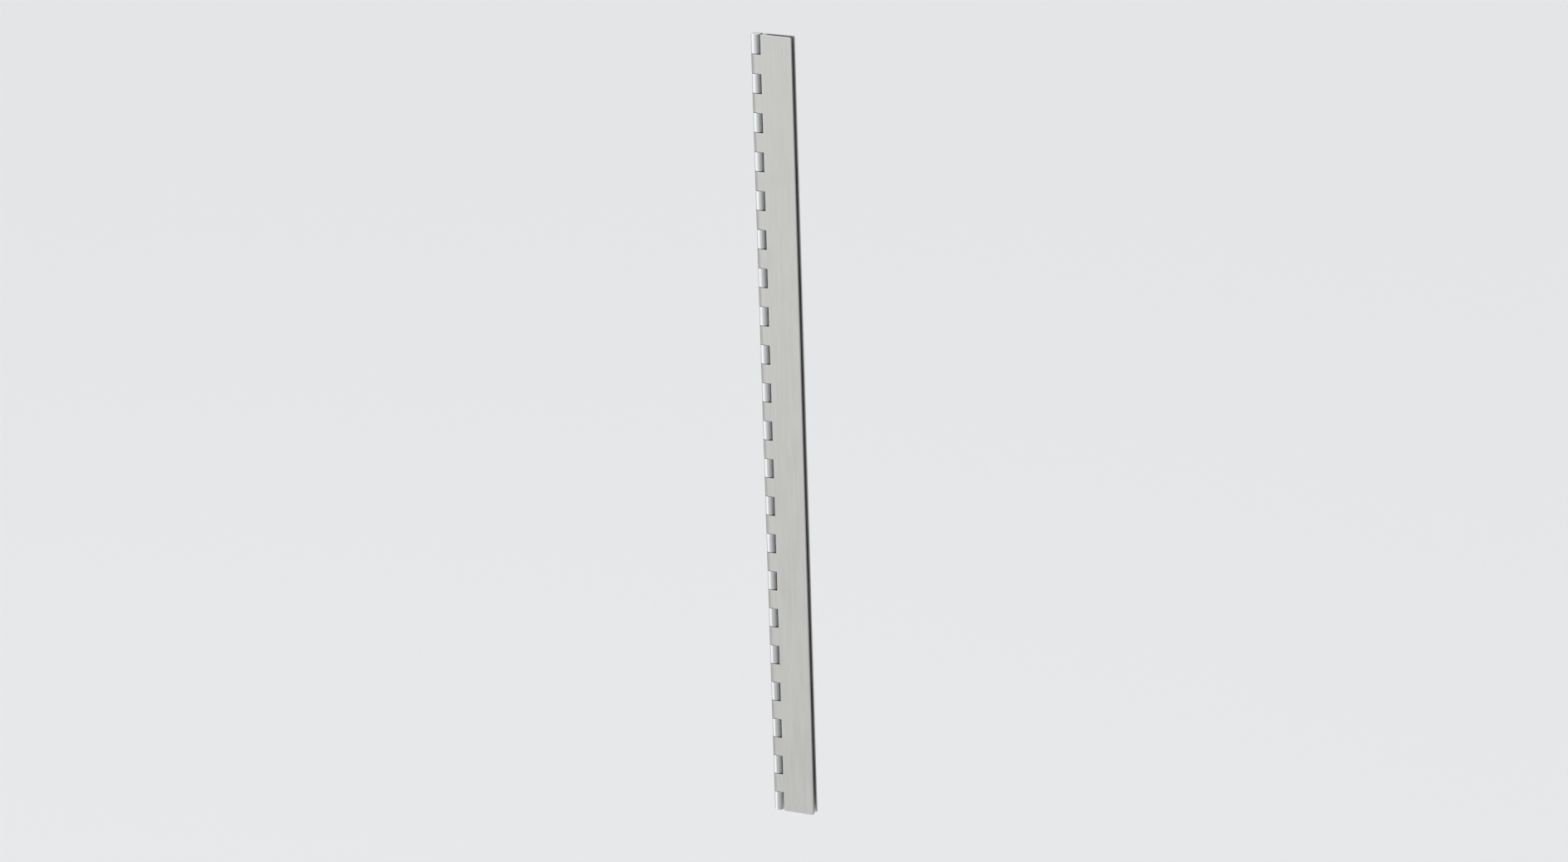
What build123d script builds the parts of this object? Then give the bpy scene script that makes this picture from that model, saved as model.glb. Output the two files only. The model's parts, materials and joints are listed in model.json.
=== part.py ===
from build123d import *
import os

# Piano hinge with plain leaves for welding: two steel strips curled into interleaved knuckles on one long pin.
# Frame: +Z up along the pin and -Y to the front. The origin is in the middle of the frame leaf's back face, on
# its weld line, so that face is the plane y = 0. The hinge is closed: both leaves run to +X, the frame leaf
# behind the pin and the door leaf in front of it.

# Driving dimensions, in millimetres
leaf_thickness = 0.060 * IN
leaf_width = 1.000 * IN  # from the pin's axis to a leaf's free edge
pin_diameter = 0.125 * IN
bore_diameter = 0.130 * IN  # inside of a knuckle
knuckle_pitch = 0.500 * IN  # from one leaf's knuckle to the other leaf's
knuckle_gap = 0.30  # end play between neighbouring knuckles
frame_knuckle_count = 21  # the frame leaf has the knuckle at each end
weld_line = 0.625 * IN  # from the pin's axis to the middle of the weld pad
wrap_angle = 291  # how far round the pin a knuckle curls, in degrees
notch_clearance = 0.050 * IN  # from the other leaf's knuckle to the bottom of its notch
notch_fillet = 0.40
corner_fillet = 1.00  # at the corners of a leaf's free edge
pin_chamfer = 0.35
stake_height = 4.00  # from a barrel end to the punch mark that locks the pin
stake_dent_radius = 1.10
stake_dent_depth = 0.45
stake_bump_radius = 0.60
stake_bump_root = 0.30  # how deep the bump starts inside the knuckle's wall
selection_margin = 0.01  # either side of the place where edges are looked for

# Derived dimensions
barrel_radius = bore_diameter / 2 + leaf_thickness
bore_radius = bore_diameter / 2
pin_radius = pin_diameter / 2
door_knuckle_count = frame_knuckle_count - 1
hinge_length = (frame_knuckle_count + door_knuckle_count) * knuckle_pitch
notch_edge = barrel_radius + notch_clearance
notch_height = knuckle_pitch + knuckle_gap

# The plane at the bottom of the hinge, with its origin on the pin's axis
pin_base = Plane(origin=(-weld_line, -barrel_radius, -hinge_length / 2))

# Middles of the knuckles, above the bottom of the hinge
frame_knuckle_heights = [(2 * i + 0.5) * knuckle_pitch for i in range(frame_knuckle_count)]
door_knuckle_heights = [(2 * i + 1.5) * knuckle_pitch for i in range(door_knuckle_count)]


def curled_leaf(side, notch_heights, stake_heights=()):
    """A strip curled round the pin and notched for the other leaf's knuckles.

    side is 1 for a plate behind the pin and -1 for a plate in front of it.
    """
    with BuildPart(pin_base) as leaf:
        with BuildSketch(pin_base):
            with BuildLine():
                outside = CenterArc((0, 0), barrel_radius, 90 * side, wrap_angle * side)
                inside = CenterArc((0, 0), bore_radius, (90 + wrap_angle) * side, -wrap_angle * side)
                Line(outside @ 1, inside @ 0)
                Polyline(
                    inside @ 1,
                    (leaf_width, bore_radius * side),
                    (leaf_width, barrel_radius * side),
                    outside @ 0,
                )
            make_face()
        extrude(amount=hinge_length)
        with Locations(*[(notch_edge, 0, height) for height in notch_heights]):
            Box(
                notch_edge + 2 * barrel_radius,
                3 * barrel_radius,
                notch_height,
                align=(Align.MAX, Align.CENTER, Align.CENTER),
                mode=Mode.SUBTRACT,
            )
        corner_x = notch_edge - weld_line
        notch_corners = leaf.edges().filter_by(Axis.Y).filter_by_position(
            Axis.X, corner_x - selection_margin, corner_x + selection_margin
        )
        fillet(notch_corners, notch_fillet)
        fillet(leaf.edges().filter_by(Axis.Y).group_by(Axis.X)[-1], corner_fillet)
        for height in stake_heights:
            stake(height)
    return leaf


def stake(height):
    """A punch mark in the knuckle at this height: a dent outside, and a bump inside that grips the pin."""
    with Locations(Location((-bore_radius - stake_bump_root, 0, height), (0, 90, 0))):
        Cylinder(
            stake_bump_radius,
            bore_radius + stake_bump_root,
            align=(Align.CENTER, Align.CENTER, Align.MIN),
        )
    with Locations((0, 0, height)):
        Cylinder(pin_radius, 4 * stake_bump_radius, mode=Mode.SUBTRACT)
    with Locations((stake_dent_depth - barrel_radius - stake_dent_radius, 0, height)):
        Sphere(stake_dent_radius, mode=Mode.SUBTRACT)


def pin():
    """Straight pin, as long as the barrel, with chamfered ends."""
    with BuildPart(pin_base) as rod:
        with BuildSketch(pin_base):
            Circle(pin_radius)
        extrude(amount=hinge_length)
        chamfer(rod.edges().filter_by(GeomType.CIRCLE), pin_chamfer)
    return rod


frame_leaf = curled_leaf(1, door_knuckle_heights, (stake_height, hinge_length - stake_height))
frame_leaf.part.label = "frame_leaf"

door_leaf = curled_leaf(-1, frame_knuckle_heights)
door_leaf.part.label = "door_leaf"

hinge_pin = pin()
hinge_pin.part.label = "hinge_pin"

os.makedirs("parts", exist_ok=True)
for piece in (frame_leaf, door_leaf, hinge_pin):
    export_step(piece.part, f"parts/{piece.part.label}.step")
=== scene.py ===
import json
import math

import bmesh
import bpy
from mathutils import Matrix, Vector


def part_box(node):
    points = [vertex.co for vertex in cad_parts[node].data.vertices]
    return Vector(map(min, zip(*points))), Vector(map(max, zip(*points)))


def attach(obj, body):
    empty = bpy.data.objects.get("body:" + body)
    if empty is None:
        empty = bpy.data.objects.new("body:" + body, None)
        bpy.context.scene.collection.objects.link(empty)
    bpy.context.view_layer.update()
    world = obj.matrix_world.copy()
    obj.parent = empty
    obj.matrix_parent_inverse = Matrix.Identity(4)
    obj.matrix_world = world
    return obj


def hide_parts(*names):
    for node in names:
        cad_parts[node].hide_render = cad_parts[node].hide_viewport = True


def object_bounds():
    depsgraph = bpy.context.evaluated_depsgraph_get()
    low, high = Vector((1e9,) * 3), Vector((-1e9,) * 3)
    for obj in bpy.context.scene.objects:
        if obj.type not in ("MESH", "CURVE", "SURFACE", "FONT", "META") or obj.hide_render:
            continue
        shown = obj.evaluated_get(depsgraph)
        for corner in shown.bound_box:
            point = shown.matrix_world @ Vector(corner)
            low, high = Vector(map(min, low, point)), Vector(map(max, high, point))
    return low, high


# The looks of a piano hinge: two curled steel leaves and their pin, rebuilt finely in place of the packed
# model's pieces, above a pale floor in a soft studio. Lengths are in metres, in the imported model's frame.

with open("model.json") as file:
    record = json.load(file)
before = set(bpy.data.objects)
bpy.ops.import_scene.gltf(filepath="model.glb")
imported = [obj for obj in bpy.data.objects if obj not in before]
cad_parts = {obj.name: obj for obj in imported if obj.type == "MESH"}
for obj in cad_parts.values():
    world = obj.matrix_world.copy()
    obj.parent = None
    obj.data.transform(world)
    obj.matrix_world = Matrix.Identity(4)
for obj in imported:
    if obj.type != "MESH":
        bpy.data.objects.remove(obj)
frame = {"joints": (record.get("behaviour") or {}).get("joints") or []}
cad_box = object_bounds()

MM = 0.001
INCH = 0.0254

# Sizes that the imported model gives
leaf_low, leaf_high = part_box("frame_leaf")
pin_low, pin_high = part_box("hinge_pin")
axis_x, axis_y = frame["joints"][0]["pos_m"][:2]
hinge_length = leaf_high.z - leaf_low.z
barrel_radius = (leaf_high.y - leaf_low.y) / 2
leaf_width = leaf_high.x - axis_x
pin_radius = (pin_high.x - pin_low.x) / 2

# Sizes that repeat the model's own
leaf_thickness = 0.060 * INCH
bore_radius = barrel_radius - leaf_thickness
knuckle_pitch = 0.500 * INCH
knuckle_gap = 0.30 * MM
notch_edge = barrel_radius + 0.050 * INCH  # from the pin's axis to the bottom of a notch
notch_fillet = 0.40 * MM
corner_fillet = 1.00 * MM
wrap_angle = math.radians(291)
pin_chamfer = 0.35 * MM
stake_height = 4.00 * MM  # from a barrel end to the punch mark that locks the pin
stake_dent_radius = 1.00 * MM  # of the dent's rim
stake_dent_depth = 0.45 * MM
stake_bump_radius = 0.60 * MM

# Fine shapes that only the looks have
edge_break = 0.13 * MM
pin_dome = 0.05 * MM

knuckle_count = round(hinge_length / knuckle_pitch)
knuckle_heights = [leaf_low.z + (i + 0.5) * knuckle_pitch for i in range(knuckle_count)]
frame_knuckles = knuckle_heights[0::2]
door_knuckles = knuckle_heights[1::2]

# Where the curl's tone, painted shade on the door leaf, takes over from the plate's and gives way to it
# again, along the bend
curl_blend = math.radians(9)
curl_fade = math.radians(40)

# How finely the meshes are divided
arc_steps = 72  # round a knuckle
fillet_steps = 8
pin_steps = 64
longest_cell = 3.2 * MM
stake_cell = 0.10 * MM
stake_margin = 1.1  # how far past its rim a dent's fine cells reach, in rim radii
stake_clearance = 0.02  # least angle between the fine cells of a dent and the next step of the curl
end_margin = 0.01 * MM  # how far a wall of the leaf's own ends may lie from them

# Edges that turn by more than this are broken
leaf_sharp_angle = math.radians(50)
pin_sharp_angle = math.radians(30)


# ---------------------------------------------------------------- meshes

def divided(stops, longest):
    """The stops in order, with evenly spaced values added where two are further apart than longest."""
    stops = sorted(set(round(stop, 7) for stop in stops))
    values = [stops[0]]
    for low, high in zip(stops, stops[1:]):
        parts = max(1, math.ceil((high - low) / longest - 1e-6))
        values += [low + (high - low) * k / parts for k in range(1, parts + 1)]
    return values


class FlatPattern:
    """A leaf before it is curled, as points (reach, height) and faces.

    reach is minus the distance from the pin's axis on the plate, and the angle of the curl beyond the axis.
    """

    def __init__(self):
        self.points = []
        self.faces = []
        self.known = {}

    def point(self, reach, height):
        key = (round(reach * 1e6), round(height * 1e7))
        if key not in self.known:
            self.known[key] = len(self.points)
            self.points.append((reach, height))
        return self.known[key]

    def cell(self, reaches, heights):
        """A rectangle between two reaches and two heights."""
        (near, far), (bottom, top) = reaches, heights
        corners = ((near, bottom), (far, bottom), (far, top), (near, top))
        self.faces.append([self.point(*corner) for corner in corners])

    def fan(self, hub, centre, start_angle, radius, clockwise=False):
        """Triangles from the hub to a quarter circle, clockwise where it runs so as seen from the hub."""
        hub_point = self.point(*hub)
        rim = []
        for k in range(fillet_steps + 1):
            angle = start_angle + math.pi / 2 * k / fillet_steps
            across, up = radius * math.cos(angle), radius * math.sin(angle)
            rim.append(self.point(centre[0] + across, centre[1] + up))
        for start, end in zip(rim, rim[1:]):
            self.faces.append([end, start, hub_point] if clockwise else [hub_point, start, end])

    def open_edges(self):
        """The pattern's outline, as directed edges that only one face uses."""
        edges = dict.fromkeys(edge for face in self.faces for edge in zip(face, face[1:] + face[:1]))
        return [(start, end) for start, end in edges if (end, start) not in edges]


def notch_spans(notches):
    """The bottom and top of the notch at each of these heights, no further than the leaf's own ends."""
    half_notch = (knuckle_pitch + knuckle_gap) / 2
    return [(max(leaf_low.z, c - half_notch), min(leaf_high.z, c + half_notch)) for c in notches]


def row_heights(spans, stakes):
    """The heights that divide a leaf into rows of cells, finer across the stakes."""
    low, high = leaf_low.z, leaf_high.z
    stops = [low, high, low + corner_fillet, high - corner_fillet]
    for bottom, top in spans:
        stops += [bottom, top]
        if bottom > low:
            stops.append(bottom + notch_fillet)
        if top < high:
            stops.append(top - notch_fillet)
    fine = round(stake_margin * stake_dent_radius / stake_cell)
    for height in stakes:
        stops += [height + k * stake_cell for k in range(-fine, fine + 1)]
    return divided(stops, longest_cell)


def bend_angles(stakes):
    """The angles that divide the curl into columns of cells, finer across the stakes."""
    even = [wrap_angle * k / arc_steps for k in range(arc_steps + 1)]
    if not stakes:
        return even
    fine = round(stake_margin * stake_dent_radius / stake_cell)
    middle = math.pi / 2
    half_turn = fine * stake_cell / barrel_radius
    across = [middle + half_turn * k / fine for k in range(-fine, fine + 1)]
    return sorted(across + [angle for angle in even if abs(angle - middle) > half_turn + stake_clearance])


def leaf_pattern(notches, stakes):
    """The flat pattern of a leaf with a notch at each of these heights, finer round the stakes."""
    low, high = leaf_low.z, leaf_high.z
    spans = notch_spans(notches)
    rows = row_heights(spans, stakes)
    plate = divided([-leaf_width, -leaf_width + corner_fillet, -notch_edge], longest_cell)
    neck = divided([-notch_edge, -notch_edge + notch_fillet, 0], longest_cell)
    knuckle = neck + bend_angles(stakes)[1:]
    plate_columns = list(zip(plate, plate[1:]))
    knuckle_columns = list(zip(knuckle, knuckle[1:]))

    pattern = FlatPattern()
    for bottom, top in zip(rows, rows[1:]):
        middle = (bottom + top) / 2
        at_corner = middle < low + corner_fillet or middle > high - corner_fillet
        columns = plate_columns[1:] if at_corner else plate_columns
        if not any(span[0] < middle < span[1] for span in spans):
            columns = columns + knuckle_columns
        for column in columns:
            pattern.cell(column, (bottom, top))

    # The corners of the free edge are round, and so are those at the bottom of each notch.
    inset = -leaf_width + corner_fillet
    pattern.fan((inset, low + corner_fillet), (inset, low + corner_fillet), math.pi, corner_fillet)
    pattern.fan((inset, high - corner_fillet), (inset, high - corner_fillet), math.pi / 2, corner_fillet)
    void = -notch_edge + notch_fillet
    for bottom, top in spans:
        if bottom > low:
            centre = (void, bottom + notch_fillet)
            pattern.fan((-notch_edge, bottom), centre, math.pi, notch_fillet, clockwise=True)
        if top < high:
            centre = (void, top - notch_fillet)
            pattern.fan((-notch_edge, top), centre, math.pi / 2, notch_fillet, clockwise=True)
    return pattern


def curled(reach, height, depth, side):
    """Where a pattern's point lies on the finished leaf. depth is 0 at the bore's side and 1 outside."""
    radius = bore_radius + depth * leaf_thickness
    if reach <= 0:
        return Vector((axis_x - reach, axis_y + side * radius, height))
    angle = math.pi / 2 + reach
    return Vector((axis_x + radius * math.cos(angle), axis_y + side * radius * math.sin(angle), height))


def staked(place, depth, stakes):
    """The place, moved by a punch mark: a dent outside the knuckle and a bump inside that grips the pin."""
    if place.x > axis_x:
        return place
    if depth == 0:
        mark_radius, push = stake_bump_radius, bore_radius - pin_radius
    else:
        mark_radius, push = stake_dent_radius, stake_dent_depth
    for height in stakes:
        across = math.hypot(place.y - axis_y, place.z - height) / mark_radius
        if across < 1:
            place.x += push * (1 - across**2) ** 1.5
    return place


def curl_share(reach, end):
    """How far the strip has the curl's tone (on the door leaf, painted shade) and not the plate's: 0 on the
    plate and past the end angle.
    """
    ease_in = min(max(reach / curl_blend, 0.0), 1.0)
    ease_out = min(max((end - reach) / curl_fade, 0.0), 1.0)
    return ease_in * ease_out


def at_leaf_end(wall):
    """Whether the wall closes one of the leaf's own ends, which are sawn smooth."""
    heights = [vert.co.z for vert in wall.verts]
    return max(heights) < leaf_low.z + end_margin or min(heights) > leaf_high.z - end_margin


def leaf_piece(name, side, notches, stakes=(), curl_mark_end=2 * math.pi):
    """A curled leaf. side is 1 for a plate behind the pin and -1 for a plate in front of it.

    The last argument is the angle of the bend where the curl's own tone ends. The mesh says where its
    finishes are: the layer "cut" is 1 on sheared edges, "curl" is 1 on the curl, whose tone differs from the
    plate's (on the door leaf as painted shade), and "through" is 0 on the bore's side of the sheet and 1 on
    its outside.
    """
    pattern = leaf_pattern(notches, stakes)
    mesh = bmesh.new()
    cut = mesh.faces.layers.float.new("cut")
    curl = mesh.verts.layers.float.new("curl")
    through = mesh.verts.layers.float.new("through")
    skins = []
    for depth in (0, 1):
        skin = []
        for reach, height in pattern.points:
            vert = mesh.verts.new(staked(curled(reach, height, depth, side), depth, stakes))
            vert[curl] = curl_share(reach, curl_mark_end)
            vert[through] = depth
            skin.append(vert)
        skins.append(skin)
    inner, outer = skins
    for face in pattern.faces:
        mesh.faces.new([outer[i] for i in face])
        mesh.faces.new([inner[i] for i in reversed(face)])
    for start, end in pattern.open_edges():
        wall = mesh.faces.new([outer[end], outer[start], inner[start], inner[end]])
        wall[cut] = 0.0 if at_leaf_end(wall) else 1.0
    bmesh.ops.recalc_face_normals(mesh, faces=mesh.faces)
    return finished(mesh, name, leaf_sharp_angle)


def finished(mesh, name, sharp_angle):
    """An object with its sharp edges broken. The layer "worn" is 1 along the middle of each broken edge."""
    sharp = [edge for edge in mesh.edges if edge.calc_face_angle(0) > sharp_angle]
    broken = bmesh.ops.bevel(
        mesh, geom=sharp, offset=edge_break, offset_type="OFFSET", segments=2, profile=0.5,
        affect="EDGES", clamp_overlap=False,
    )
    worn = mesh.verts.layers.float.new("worn")
    rounded = set(broken["faces"])
    for face in rounded:
        for vert in face.verts:
            vert[worn] = 1.0 if rounded.issuperset(vert.link_faces) else 0.25
    for face in mesh.faces:
        face.smooth = True
    normals = even_normals(mesh, rounded)
    data = bpy.data.meshes.new(name)
    mesh.to_mesh(data)
    mesh.free()
    data.normals_split_custom_set(normals)
    piece = bpy.data.objects.new(name, data)
    bpy.context.scene.collection.objects.link(piece)
    return piece


def even_normals(mesh, rounded):
    """A normal for each corner of each face. Flat faces shade flat, and the rounded edges between them take
    up the whole turn."""
    same_surface = math.cos(math.radians(30))

    def corner_normal(face, vert):
        plain = [near for near in vert.link_faces if near not in rounded]
        if face not in rounded:
            plain = [near for near in plain if near.normal.dot(face.normal) > same_surface]
        total = Vector()
        for near in plain or vert.link_faces:
            total += near.normal * near.calc_area()
        return total.normalized()

    mesh.normal_update()
    return [corner_normal(face, loop.vert) for face in mesh.faces for loop in face.loops]


def pin_piece(name):
    """The pin, turned about its axis, with chamfered and very slightly domed ends."""
    top = pin_high.z
    upper = [
        (0.0, top),
        (0.5 * pin_radius, top - 0.25 * pin_dome),
        (pin_radius - pin_chamfer, top - pin_dome),
        (pin_radius, top - pin_dome - pin_chamfer),
    ]
    profile = upper + [(radius, pin_low.z + top - height) for radius, height in reversed(upper)]
    mesh = bmesh.new()
    rings = []
    for radius, height in profile:
        if radius == 0:
            rings.append([mesh.verts.new((axis_x, axis_y, height))])
            continue
        ring = []
        for k in range(pin_steps):
            angle = 2 * math.pi * k / pin_steps
            place = (axis_x + radius * math.cos(angle), axis_y + radius * math.sin(angle), height)
            ring.append(mesh.verts.new(place))
        rings.append(ring)
    for above, below in zip(rings, rings[1:]):
        for k in range(pin_steps):
            after = (k + 1) % pin_steps
            corners = [above[k % len(above)], above[after % len(above)]]
            corners += [below[after % len(below)], below[k % len(below)]]
            mesh.faces.new(list(dict.fromkeys(corners)))
    bmesh.ops.recalc_face_normals(mesh, faces=mesh.faces)
    return finished(mesh, name, pin_sharp_angle)


# ---------------------------------------------------------------- materials

class Nodes:
    """Short calls for building a material's or the world's node tree."""

    def __init__(self, tree):
        self.tree = tree
        tree.nodes.clear()

    def add(self, kind, **settings):
        node = self.tree.nodes.new(kind)
        for key, value in settings.items():
            setattr(node, key, value)
        return node

    def link(self, source, target):
        self.tree.links.new(source, target)

    def feed(self, sockets, values):
        """Sets each socket to its number, or links it to its source."""
        for socket, value in zip(sockets, values):
            if isinstance(value, (int, float)):
                socket.default_value = value
            else:
                self.link(value, socket)

    def math(self, operation, first, second):
        node = self.add("ShaderNodeMath", operation=operation)
        self.feed(node.inputs, (first, second))
        return node.outputs[0]

    def product(self, first, second):
        return self.math("MULTIPLY", first, second)

    def total(self, *values):
        result = values[0]
        for value in values[1:]:
            result = self.math("ADD", result, value)
        return result

    def mix(self, share, first, second):
        """The first value where share is 0 and the second where it is 1."""
        node = self.add("ShaderNodeMix", data_type="FLOAT")
        self.feed((node.inputs[0], node.inputs[2], node.inputs[3]), (share, first, second))
        return node.outputs[0]

    def ramp(self, value, low, high, to_low, to_high, smooth=True):
        """The value, carried from the range low to high over to the range to_low to to_high."""
        node = self.add("ShaderNodeMapRange", interpolation_type="SMOOTHSTEP" if smooth else "LINEAR")
        self.link(value, node.inputs["Value"])
        for key, number in (("From Min", low), ("From Max", high), ("To Min", to_low), ("To Max", to_high)):
            node.inputs[key].default_value = number
        return node.outputs["Result"]

    def drift(self, noise, most):
        """A change of up to this much either way, from a noise, whose values are mostly from 0.3 to 0.7."""
        return self.ramp(noise, 0.3, 0.7, -most, most)

    def noise(self, place, stretch, size, detail, roughness=0.5):
        """Noise with features about this size, stretched along Z by that factor."""
        scaling = self.add("ShaderNodeVectorMath", operation="MULTIPLY")
        scaling.inputs[1].default_value = (1 / size, 1 / size, 1 / (size * stretch))
        self.link(place, scaling.inputs[0])
        node = self.add("ShaderNodeTexNoise")
        node.inputs["Scale"].default_value = 1.0
        node.inputs["Detail"].default_value = detail
        node.inputs["Roughness"].default_value = roughness
        self.link(scaling.outputs[0], node.inputs["Vector"])
        return node.outputs["Fac"]

    def layer(self, name):
        """A value that the mesh carries."""
        return self.add("ShaderNodeAttribute", attribute_name=name).outputs["Fac"]


# How a sheared edge differs from the plate, in tone as a share of the colour, and in roughness. It is smooth
# where the blade went in, on the outer side of the sheet, and torn and matt beyond that.
smooth_cut_tone, smooth_cut_roughness = -0.30, 0.04
torn_cut_tone, torn_cut_roughness = -0.44, 0.16
torn_depth, smooth_depth = 0.52, 0.66  # through the sheet, where one gives way to the other
tear_raggedness = 0.10

# How the roughness changes along the strip, and on a broken edge
streak_roughness = 0.035
cloud_roughness = 0.025
worn_roughness = -0.08

# The fine relief of all three pieces
relief_depth = 0.004 * MM
relief_strength = 0.25
plain_grit = 0.5  # how strongly the specks show, beside the lengthwise lines
torn_grit = 4.0  # and how much more on a torn edge


def steel(name, colour, roughness, grain, mottle, wear, curl_tone_and_painted_shade=0.0, curl_roughness=0.0):
    """Rolled or drawn stainless steel.

    grain is how strongly the fine lengthwise lines show, mottle how much the tone drifts and wear how bright
    the broken edges are. The last two change the tone and roughness of the knuckles' curl: a lighter curl
    stands for the curling die's burnish, and a darker one is painted shade.
    """
    material = bpy.data.materials.new(name)
    material.use_nodes = True
    nodes = Nodes(material.node_tree)
    shader = nodes.add("ShaderNodeBsdfPrincipled")
    output = nodes.add("ShaderNodeOutputMaterial")
    nodes.link(shader.outputs[0], output.inputs["Surface"])
    shader.inputs["Metallic"].default_value = 1.0

    place = nodes.add("ShaderNodeTexCoord").outputs["Object"]
    lines = nodes.noise(place, stretch=60, size=0.16 * MM, detail=4.0, roughness=0.6)
    streaks = nodes.noise(place, stretch=40, size=1.1 * MM, detail=3.0)
    clouds = nodes.noise(place, stretch=2.5, size=9 * MM, detail=4.0)
    specks = nodes.noise(place, stretch=1, size=0.5 * MM, detail=2.0)
    cut = nodes.layer("cut")
    worn = nodes.layer("worn")
    curl = nodes.layer("curl")
    through = nodes.layer("through")

    ragged = nodes.total(through, nodes.drift(specks, tear_raggedness))
    torn = nodes.ramp(ragged, torn_depth, smooth_depth, 1.0, 0.0)

    tone = nodes.total(
        nodes.drift(lines, grain),
        nodes.drift(streaks, grain),
        nodes.drift(clouds, mottle),
        nodes.product(cut, nodes.mix(torn, smooth_cut_tone, torn_cut_tone)),
        nodes.product(worn, wear),
        # the curl's tone: the die's burnish on the frame leaf, painted shade on the door leaf
        nodes.product(curl, curl_tone_and_painted_shade),
        1.0,
    )
    base = nodes.add("ShaderNodeVectorMath", operation="SCALE")
    base.inputs[0].default_value = colour
    nodes.link(tone, base.inputs["Scale"])
    nodes.link(base.outputs[0], shader.inputs["Base Color"])

    rough = nodes.total(
        nodes.drift(streaks, streak_roughness),
        nodes.drift(clouds, cloud_roughness),
        nodes.product(cut, nodes.mix(torn, smooth_cut_roughness, torn_cut_roughness)),
        nodes.product(worn, worn_roughness),
        nodes.product(curl, curl_roughness),
        roughness,
    )
    nodes.link(rough, shader.inputs["Roughness"])

    grit = nodes.total(plain_grit, nodes.product(nodes.product(cut, torn), torn_grit))
    relief = nodes.total(lines, nodes.product(specks, grit))
    bump = nodes.add("ShaderNodeBump")
    bump.inputs["Strength"].default_value = relief_strength
    bump.inputs["Distance"].default_value = relief_depth
    nodes.link(relief, bump.inputs["Height"])
    nodes.link(bump.outputs[0], shader.inputs["Normal"])
    return material


def matt(name, colour):
    """An even surface with no shine."""
    material = bpy.data.materials.new(name)
    material.use_nodes = True
    shader = material.node_tree.nodes["Principled BSDF"]
    shader.inputs["Base Color"].default_value = (*colour, 1)
    shader.inputs["Roughness"].default_value = 0.9
    return material


# ---------------------------------------------------------------- the hinge

frame_leaf = leaf_piece(
    "frame_leaf_strip", 1, door_knuckles, (leaf_low.z + stake_height, leaf_high.z - stake_height)
)
frame_leaf.data.materials.append(steel(
    "bright_rolled_steel", (0.74, 0.75, 0.755),
    roughness=0.34, grain=0.025, mottle=0.02, wear=0.08, curl_tone_and_painted_shade=0.08, curl_roughness=-0.12,
))
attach(frame_leaf, "frame")
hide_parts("frame_leaf")

# The door leaf's curl is made darker up to 125 degrees round the bend: painted shade on the left side of its
# knuckles.
door_leaf = leaf_piece("door_leaf_strip", -1, frame_knuckles, curl_mark_end=math.radians(125))
door_leaf.data.materials.append(steel(
    "satin_rolled_steel", (0.66, 0.655, 0.63),
    roughness=0.40, grain=0.03, mottle=0.02, wear=0.08, curl_tone_and_painted_shade=-0.32, curl_roughness=0.06,
))
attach(door_leaf, "door")
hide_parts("door_leaf")

pin = pin_piece("hinge_pin_rod")
pin.data.materials.append(steel(
    "drawn_wire_steel", (0.62, 0.63, 0.64), roughness=0.28, grain=0.03, mottle=0.01, wear=0.05
))
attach(pin, "frame")
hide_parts("hinge_pin")


# ---------------------------------------------------------------- floor

floor_drop = 0.50
floor_side = 24.0


def floor_piece():
    """A level square below the hinge."""
    half = floor_side / 2
    height = leaf_low.z - floor_drop
    corners = [(-half, -half, height), (half, -half, height), (half, half, height), (-half, half, height)]
    data = bpy.data.meshes.new("floor")
    data.from_pydata(corners, [], [(0, 1, 2, 3)])
    data.materials.append(matt("pale_floor", (0.885, 0.888, 0.90)))
    piece = bpy.data.objects.new("floor", data)
    bpy.context.scene.collection.objects.link(piece)
    piece.visible_glossy = False  # the steel reflects the studio's soft boxes instead
    return piece


floor = floor_piece()


# ---------------------------------------------------------------- studio

# How bright the studio is below the hinge's height, as (azimuth in degrees, level just below it, level
# further down): azimuth 0 is in front and 90 to the right. A tall soft box stands at the left, and the right
# side is dim, so the round knuckles shade from left to right.
studio_chart = (
    (-180, 0.74, 0.62), (-125, 0.50, 0.50), (-98, 0.78, 0.78), (-75, 1.15, 1.15), (-50, 1.18, 1.12),
    (-22, 1.20, 0.42), (0, 0.95, 0.36), (30, 0.62, 0.46), (58, 0.36, 0.34), (80, 0.33, 0.32),
    (112, 0.48, 0.45), (140, 0.72, 0.60), (180, 0.74, 0.62),
)
chart_scale = 2.0  # a ramp's colours stop at 1
dome_level = 0.88
dome_colour = (0.985, 0.99, 1.0, 1)

# Slopes, as the sine of the elevation, between which one part of the studio passes into the next
far_slope, near_slope = -0.50, -0.15
below_slope, dome_slope = -0.05, 0.25


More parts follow.
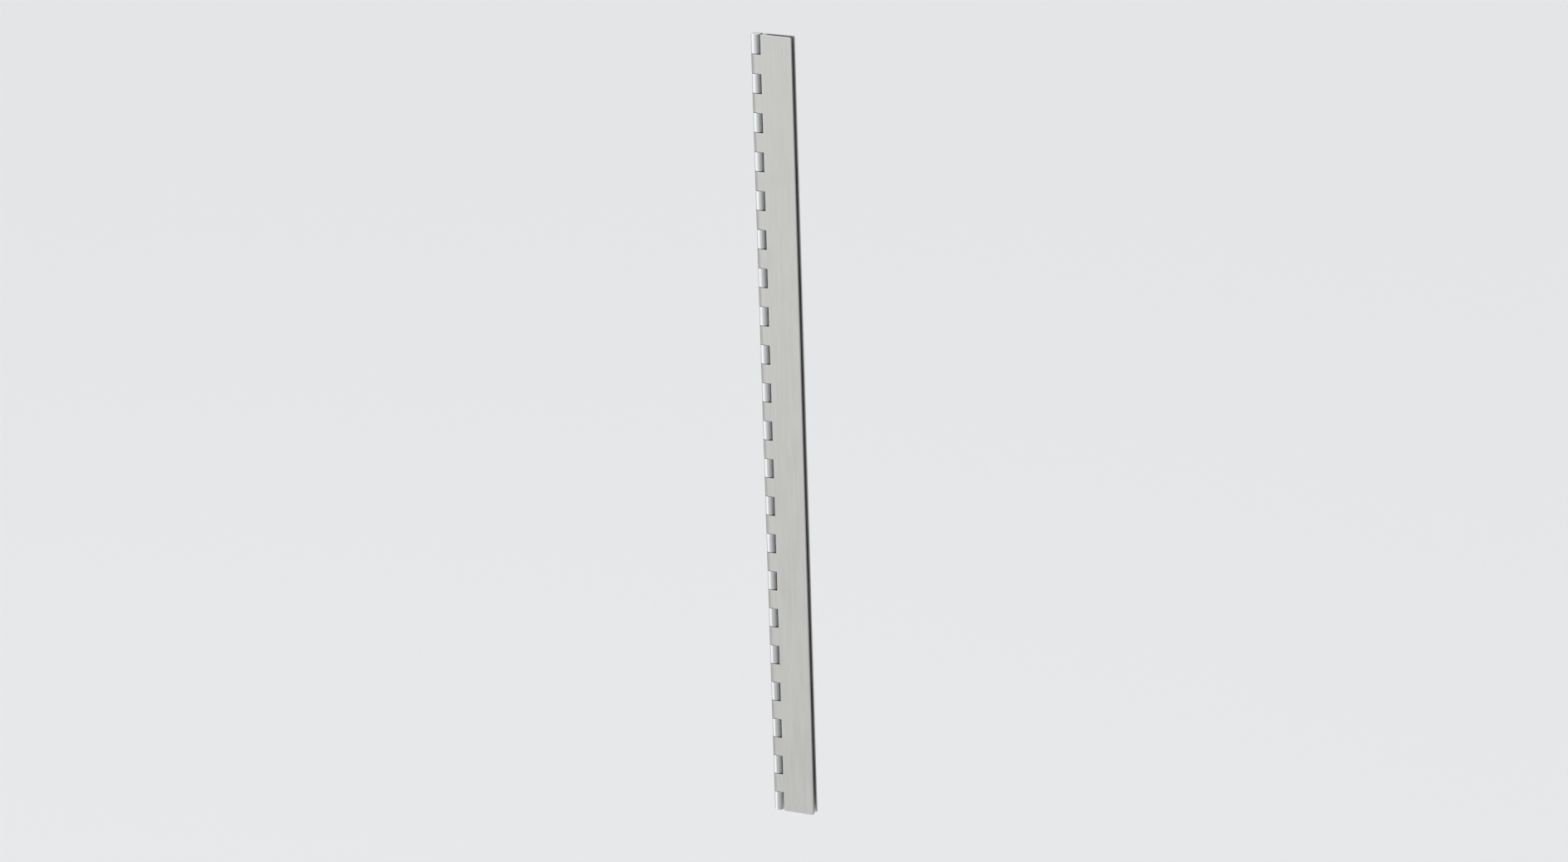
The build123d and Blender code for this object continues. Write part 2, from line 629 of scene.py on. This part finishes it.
def studio():
    """The world: a pale even dome, and round the hinge below it the soft boxes of the chart."""
    world = bpy.data.worlds.new("studio")
    bpy.context.scene.world = world
    world.use_nodes = True
    nodes = Nodes(world.node_tree)
    parts = nodes.add("ShaderNodeSeparateXYZ")
    nodes.link(nodes.add("ShaderNodeTexCoord").outputs["Generated"], parts.inputs[0])
    azimuth = nodes.math("ARCTAN2", parts.outputs["X"], nodes.product(parts.outputs["Y"], -1.0))

    # Red holds the chart's level near the hinge's height, and green the one further down.
    chart = nodes.add("ShaderNodeValToRGB")
    nodes.link(nodes.ramp(azimuth, -math.pi, math.pi, 0.0, 1.0, smooth=False), chart.inputs[0])
    chart.color_ramp.interpolation = "CARDINAL"
    stops = chart.color_ramp.elements
    stops.remove(stops[-1])
    for degrees, near, far in studio_chart:
        place = (degrees + 180) / 360
        stop = stops[0] if place == 0 else stops.new(place)
        stop.color = (near / chart_scale, far / chart_scale, 0, 1)
    levels = nodes.add("ShaderNodeSeparateColor")
    nodes.link(chart.outputs["Color"], levels.inputs[0])

    down = nodes.ramp(parts.outputs["Z"], near_slope, far_slope, 0.0, 1.0, smooth=False)
    below = nodes.product(nodes.mix(down, levels.outputs["Red"], levels.outputs["Green"]), chart_scale)
    up = nodes.ramp(parts.outputs["Z"], below_slope, dome_slope, 0.0, 1.0)
    background = nodes.add("ShaderNodeBackground")
    background.inputs["Color"].default_value = dome_colour
    nodes.link(nodes.mix(up, below, dome_level), background.inputs["Strength"])
    output = nodes.add("ShaderNodeOutputWorld")
    nodes.link(background.outputs[0], output.inputs["Surface"])


studio()


# ---------------------------------------------------------------- light and camera

def direction(azimuth, elevation):
    """The way out from the hinge at these angles, in degrees. Azimuth 0 is in front and 90 to the right."""
    across, up = math.radians(azimuth), math.radians(elevation)
    return Vector((math.sin(across) * math.cos(up), -math.cos(across) * math.cos(up), math.sin(up)))


def key_light(azimuth, elevation, distance, side, power):
    """A square soft light, aimed at the hinge."""
    data = bpy.data.lights.new("key_light", "AREA")
    data.shape = "SQUARE"
    data.size = side
    data.energy = power
    lamp = bpy.data.objects.new("key_light", data)
    bpy.context.scene.collection.objects.link(lamp)
    away = direction(azimuth, elevation)
    lamp.location = away * distance
    lamp.rotation_mode = "QUATERNION"
    lamp.rotation_quaternion = away.to_track_quat("Z", "Y")
    lamp.visible_camera = False


def view_camera(azimuth, elevation, distance, roll, lens):
    """The camera, aimed at the middle of the hinge."""
    data = bpy.data.cameras.new("camera")
    data.lens = lens
    data.sensor_width = 36
    camera = bpy.data.objects.new("camera", data)
    bpy.context.scene.collection.objects.link(camera)
    away = direction(azimuth, elevation)
    camera.location = (cad_box[0] + cad_box[1]) / 2 + away * distance
    level = (-away).to_track_quat("-Z", "Y").to_matrix()
    camera.rotation_euler = (level @ Matrix.Rotation(math.radians(-roll), 3, "Z")).to_euler()
    bpy.context.scene.camera = camera


key_light(azimuth=-55, elevation=50, distance=2.5, side=1.2, power=6)
view_camera(azimuth=25.9, elevation=19.3, distance=3.92, roll=1.75, lens=142)
bpy.context.scene.view_settings.view_transform = "Standard"
